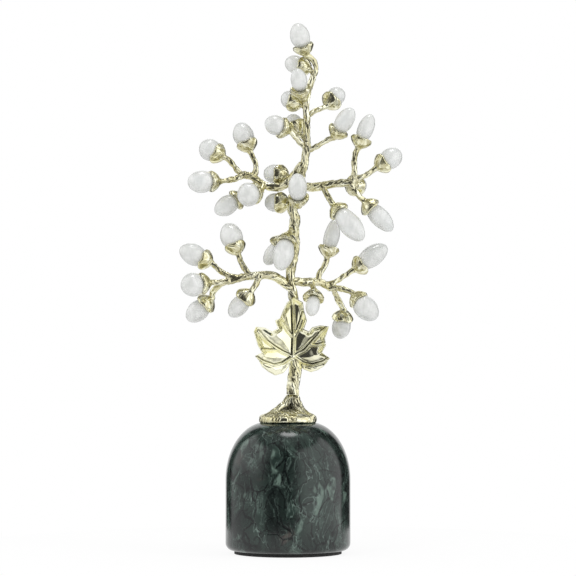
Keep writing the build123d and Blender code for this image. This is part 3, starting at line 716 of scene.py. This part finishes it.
class GemTreeSizes(bpy.types.PropertyGroup):
    """Sizes of the tree's surface forms."""
    bark_voxel: metres("Bark mesh", "Edge length of the castings' mesh", 0.00036)
    bark_soften: IntProperty(
        name="Bark softening", description="Rounds that blend the castings' joins", default=5)
    groove_depth: metres("Groove depth", "Depth of the bark's long grooves", 0.0006)
    groove_width: metres("Groove width", "Distance between the bark's grooves", 0.0042)
    groove_pull: ratio("Groove pull", "How much the grooves are drawn along the stems, as a share", 0.3)
    bark_twist: ratio("Bark twist", "Turn of the bark along the stems, in radians per metre", 70.0)
    knob_depth: metres("Knob depth", "Height of the bark's knobs", 0.0007)
    knob_size: metres("Knob size", "Width of the bark's knobs", 0.0045)
    cup_calm: ratio("Cup calm", "How much smoother the cups are than the bark, as a share", 0.7)
    cup_swell: metres("Cup swell", "How much thicker the cups' rims are", 0.0005)
    flange_height: metres("Flange height", "Height of the root foot under its dark hollows", 0.0082)
    stone_voxel: metres("Stone mesh", "Edge length of the stones' mesh", 0.0006)
    stone_wear: metres("Stone wear", "Depth of the stones' worn flats", 0.0006)
    stone_plump: metres("Stone plumpness", "Swell that makes up for the softening", 0.00015)
    stone_flat: metres("Stone flats", "Width of the stones' worn flats", 0.016)
    stone_soften: IntProperty(
        name="Stone softening", description="Rounds that smooth the stones", default=6)
    leaf_voxel: metres("Leaf mesh", "Edge length of the leaf's mesh", 0.0003)
    leaf_cushion: metres("Leaf cushion", "Rise of the leaf between its veins", 0.0015)
    vein_height: metres("Vein height", "Rise of the leaf's veins", 0.0009)
    vein_width: metres("Vein width", "Half width of the leaf's veins", 0.001)
    leaf_curl: metres("Leaf curl", "How far the leaf's edges curl", 0.0025)
    leaf_tilt: ratio("Leaf tilt", "How far the leaf's left side comes forward, as a slope", 0.2)
    leaf_curl_width: metres("Leaf curl width", "Width of the leaf's curled edge", 0.0045)
    leaf_crinkle: metres("Leaf crinkle", "Depth of the leaf's crinkles", 0.0007)
    leaf_soften: IntProperty(
        name="Leaf softening", description="Rounds that round the leaf's edges", default=2)


def colour(label, words, default):
    return FloatVectorProperty(name=label, description=words, default=default, subtype="COLOR",
                               min=0.0, max=1.0)


class GemTreeColours(bpy.types.PropertyGroup):
    """Colours of the tree's finishes."""
    gold: colour("Gold", "Plating in the open", (0.95, 0.94, 0.74))
    gold_warm: colour("Warm gold", "Plating where it is warmer", (0.9, 0.87, 0.57))
    gold_deep: colour("Deep gold", "Plating in the grooves", (0.36, 0.3, 0.1))
    # Painted shade: colour of the dark lines beside the veins and between the roots
    patina: colour("Painted shade", "Dark lines beside the veins and between the roots", (0.02, 0.018, 0.012))
    stone: colour("Stone", "Stones in general", (0.765, 0.77, 0.755))
    stone_shade: colour("Stone band", "Darker bands of the stones", (0.675, 0.685, 0.665))
    stone_cool: colour("Cool stone", "Cool patches of the stones", (0.715, 0.735, 0.73))
    stone_light: colour("Stone fleck", "Pale flecks of the stones", (0.85, 0.85, 0.84))
    marble: colour("Marble", "Marble in general", (0.0195, 0.0335, 0.0275))
    marble_dark: colour("Dark marble", "Darker masses of the marble", (0.0095, 0.0145, 0.013))
    marble_cloud: colour("Marble cloud", "Grey-green clouds", (0.045, 0.073, 0.06))
    marble_shard: colour("Marble shard", "Pale shards and specks", (0.15, 0.215, 0.18))
    marble_rust: colour("Marble rust", "Brownish patches", (0.075, 0.054, 0.048))
    marble_seam: colour("Marble seam", "Black seams", (0.0025, 0.004, 0.004))
    marble_thread: colour("Marble thread", "Fine pale threads", (0.2, 0.27, 0.24))
    pad: colour("Pad", "Foam of the pad", (0.008, 0.008, 0.008))
    pad_worn: colour("Worn pad", "Open grain of the pad", (0.025, 0.025, 0.024))
    steel: colour("Steel", "Fasteners", (0.6, 0.6, 0.6))
    steel_dull: colour("Dull steel", "Duller patches of the fasteners", (0.42, 0.43, 0.45))
    floor: colour("Floor", "Floor under the tree", (0.97, 0.97, 0.97))


class GEMTREE_OT_roots(bpy.types.Operator):
    """Root foot with its strands and wavy flange"""
    bl_idname = "gemtree.roots"
    bl_label = "Root foot"

    def execute(self, context):
        barked("root_foot", ["root_foot"], [*ROOTS, TRUNK[:3]], coarse=1.6, rounder=11, hollow=1.0)
        return {"FINISHED"}


class GEMTREE_OT_trunk(bpy.types.Operator):
    """Lower and upper trunk with twisted bark"""
    bl_idname = "gemtree.trunk"
    bl_label = "Trunk"

    def execute(self, context):
        barked("trunk", ["lower_trunk", "upper_trunk"], [TRUNK])
        return {"FINISHED"}


class GEMTREE_OT_limbs(bpy.types.Operator):
    """Limb castings with their twigs and calyx cups"""
    bl_idname = "gemtree.limbs"
    bl_label = "Limbs"

    def execute(self, context):
        for name, stems in LIMBS.items():
            barked(f"{name}_limb", [f"{name}_limb"], stems)
        return {"FINISHED"}


class GEMTREE_OT_twigs(bpy.types.Operator):
    """Single twigs with their calyx cups"""
    bl_idname = "gemtree.twigs"
    bl_label = "Twigs"

    def execute(self, context):
        for name, stem in TWIGS.items():
            barked(f"{name}_twig", [f"{name}_twig"], [stem])
        return {"FINISHED"}


class GEMTREE_OT_leaf(bpy.types.Operator):
    """Vine leaf with raised veins and curled edges"""
    bl_idname = "gemtree.leaf"
    bl_label = "Leaf"

    def execute(self, context):
        sizes = context.scene.gem_tree_sizes
        veins = drawn_lines("leaf_veins", LEAF_VEINS)
        edge = drawn_lines("leaf_edge", [LEAF_OUTLINE])
        thing = blank(["vine_leaf"], "vine_leaf_blade", sizes.leaf_voxel)
        worked(thing, leaf_tree(), {
            "Veins": veins, "Edge": edge, "Soften": sizes.leaf_soften, "Cushion": sizes.leaf_cushion,
            "Vein height": sizes.vein_height, "Vein width": sizes.vein_width, "Curl": sizes.leaf_curl,
            "Curl width": sizes.leaf_curl_width, "Crinkle": sizes.leaf_crinkle,
            "Hub height": at(*LEAF_HUB).z, "Tilt": sizes.leaf_tilt, "Metal": finish("plated_metal")})
        dropped(veins, edge)
        fitted(thing, ["vine_leaf"])
        return {"FINISHED"}


class GEMTREE_OT_stones(bpy.types.Operator):
    """Tumbled white stones in their cups"""
    bl_idname = "gemtree.stones"
    bl_label = "Stones"

    def execute(self, context):
        sizes = context.scene.gem_tree_sizes
        nodes = ["crown_stone"]
        for name, count in LIMB_STONES.items():
            nodes += [f"{name}_stone_{number + 1}" for number in range(count)]
        nodes += [f"{name}_stone" for name in TWIGS]
        for number, node in enumerate(nodes):
            thing = blank([node], f"{node}_gem", sizes.stone_voxel)
            worked(thing, pebble_tree(), {
                "Soften": sizes.stone_soften, "Wear": sizes.stone_wear, "Plump": sizes.stone_plump,
                "Flat size": sizes.stone_flat, "Seed": SEED_STEP * number, "Gem": finish("white_stone")})
            fitted(thing, [node])
        return {"FINISHED"}


class GEMTREE_OT_base(bpy.types.Operator):
    """Marble base, foot pad and the fasteners inside"""
    bl_idname = "gemtree.base"
    bl_label = "Base"

    def execute(self, context):
        for node, slot in (("marble_base", "green_marble"), ("foot_pad", "black_pad"),
                           ("tie_stud", "fastener_steel"), ("stud_washer", "fastener_steel"),
                           ("stud_nut", "fastener_steel")):
            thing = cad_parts[node]
            thing.data.materials.clear()
            thing.data.materials.append(finish(slot))
        return {"FINISHED"}


class GEMTREE_OT_stage(bpy.types.Operator):
    """White floor, soft studio light and the camera"""
    bl_idname = "gemtree.stage"
    bl_label = "Stage"

    def execute(self, context):
        scene = context.scene
        scene.view_settings.view_transform = "Standard"
        self.floor(scene)
        self.world(scene)
        self.lamps(scene)
        self.camera(scene)
        return {"FINISHED"}

    def floor(self, scene):
        disc = bmesh.new()
        bmesh.ops.create_circle(disc, cap_ends=True, radius=FLOOR_RADIUS, segments=96)
        bmesh.ops.translate(disc, verts=disc.verts, vec=(0.0, 0.0, -FLOOR_DROP))
        mesh = bpy.data.meshes.new("floor")
        disc.to_mesh(mesh)
        disc.free()
        floor = placed("floor", mesh)
        paint = bpy.data.materials.new("white_floor")
        paint.use_nodes = True
        paint.node_tree.nodes.clear()
        tree = Tree(paint.node_tree)
        seen = self.seen(tree)
        matt = tree.node("ShaderNodeBsdfDiffuse", None, {"Color": rgba(scene.gem_tree_colours.floor)})
        glow = tree.node("ShaderNodeEmission", None, {"Color": (1.0, 1.0, 1.0, 1.0), "Strength": 1.0})
        both = tree.node("ShaderNodeMixShader", None, {0: seen * FLOOR_GLOW, 1: matt, 2: glow})
        tree.node("ShaderNodeOutputMaterial", None, {"Surface": both})
        mesh.materials.append(paint)

    def seen(self, tree):
        """1 for rays that show the background: from the camera, off gloss and through glass."""
        path = tree.node("ShaderNodeLightPath", output="Is Camera Ray")
        return path.most(path.out("Is Glossy Ray")).most(path.out("Is Transmission Ray"))

    def world(self, scene):
        scene.world = bpy.data.worlds.new("studio")
        scene.world.use_nodes = True
        scene.world.node_tree.nodes.clear()
        tree = Tree(scene.world.node_tree)
        path = tree.node("ShaderNodeLightPath", output="Is Camera Ray")
        way = tree.node("ShaderNodeTexCoord", output="Generated")
        right = tree.node("ShaderNodeSeparateXYZ", None, {"Vector": way}, output="X")
        turn = right.math("ARCTAN2", right, right.out("Y") * -1.0)
        up = right.out("Z")
        left_box = turn.step(-2.35, -2.15) * (1 - turn.step(-1.2, -0.5))
        left_box = left_box * (0.7 + up.step(0.0, 0.25) * 0.45)
        right_box = turn.step(0.05, 0.7) * (1 - turn.step(1.95, 2.1)) * 1.3
        boxes = (left_box + right_box) * up.step(-0.4, -0.15) * (1 - up.step(0.7, 0.8))
        backdrop = (right.out("Y") + up * 0.28).step(0.88, 0.94)
        ceiling = up.step(0.65, 0.95) * 0.4
        ground = (1 - up.step(-0.5, -0.2)) * 0.82
        shine = DARK_ROOM + boxes.most(backdrop).most(ceiling).most(ground)
        top_lamp = tree.vector("DOT_PRODUCT", way, TOP_LAMP_WAY).out("Value").step(0.972, 0.996)
        shine = shine + top_lamp * TOP_LAMP_LIGHT
        gloss = path.out("Is Glossy Ray")
        light = path + (1 - path) * (gloss * shine + (1 - gloss) * MATT_LIGHT)
        glow = tree.node("ShaderNodeBackground", None, {
            "Color": (1.0, 1.0, 1.0, 1.0), "Strength": light})
        tree.node("ShaderNodeOutputWorld", None, {"Surface": glow})

    def lamps(self, scene):
        for name, place, size, power in LAMPS:
            lamp = bpy.data.lights.new(name, "AREA")
            lamp.shape = "SQUARE"
            lamp.size = size
            lamp.energy = power
            thing = self.aimed(scene, name, lamp, place, LAMP_AIM)
            thing.visible_glossy = False

    def camera(self, scene):
        lens = bpy.data.cameras.new("camera")
        lens.sensor_width = 36.0
        lens.lens = CAMERA_LENS
        lens.clip_end = 20.0
        scene.camera = self.aimed(scene, "camera", lens, CAMERA_PLACE, CAMERA_AIM)

    def aimed(self, scene, name, content, place, aim):
        """A lamp or camera that looks at a point."""
        thing = bpy.data.objects.new(name, content)
        thing.location = place
        thing.rotation_euler = (Vector(aim) - Vector(place)).to_track_quat("-Z", "Y").to_euler()
        scene.collection.objects.link(thing)
        return thing


class GEMTREE_PT_panel(bpy.types.Panel):
    """Pieces, sizes and colours of the gemstone tree"""
    bl_idname = "GEMTREE_PT_panel"
    bl_label = "Gem tree"
    bl_space_type = "VIEW_3D"
    bl_region_type = "UI"
    bl_category = "Gem tree"

    def draw(self, context):
        for operator in OPERATORS:
            self.layout.operator(operator.bl_idname)
        for group in (context.scene.gem_tree_sizes, context.scene.gem_tree_colours):
            for name in group.__annotations__:
                self.layout.prop(group, name)


OPERATORS = (GEMTREE_OT_roots, GEMTREE_OT_trunk, GEMTREE_OT_limbs, GEMTREE_OT_twigs, GEMTREE_OT_leaf,
             GEMTREE_OT_stones, GEMTREE_OT_base, GEMTREE_OT_stage)
CLASSES = (GemTreeSizes, GemTreeColours, *OPERATORS, GEMTREE_PT_panel)


def register():
    for item in CLASSES:
        bpy.utils.register_class(item)
    bpy.types.Scene.gem_tree_sizes = PointerProperty(type=GemTreeSizes)
    bpy.types.Scene.gem_tree_colours = PointerProperty(type=GemTreeColours)


def unregister():
    del bpy.types.Scene.gem_tree_colours
    del bpy.types.Scene.gem_tree_sizes
    for item in reversed(CLASSES):
        bpy.utils.unregister_class(item)


def main():
    register()
    for operator in OPERATORS:
        group, name = operator.bl_idname.split(".")
        getattr(getattr(bpy.ops, group), name)()


if __name__ == "__main__":
    main()
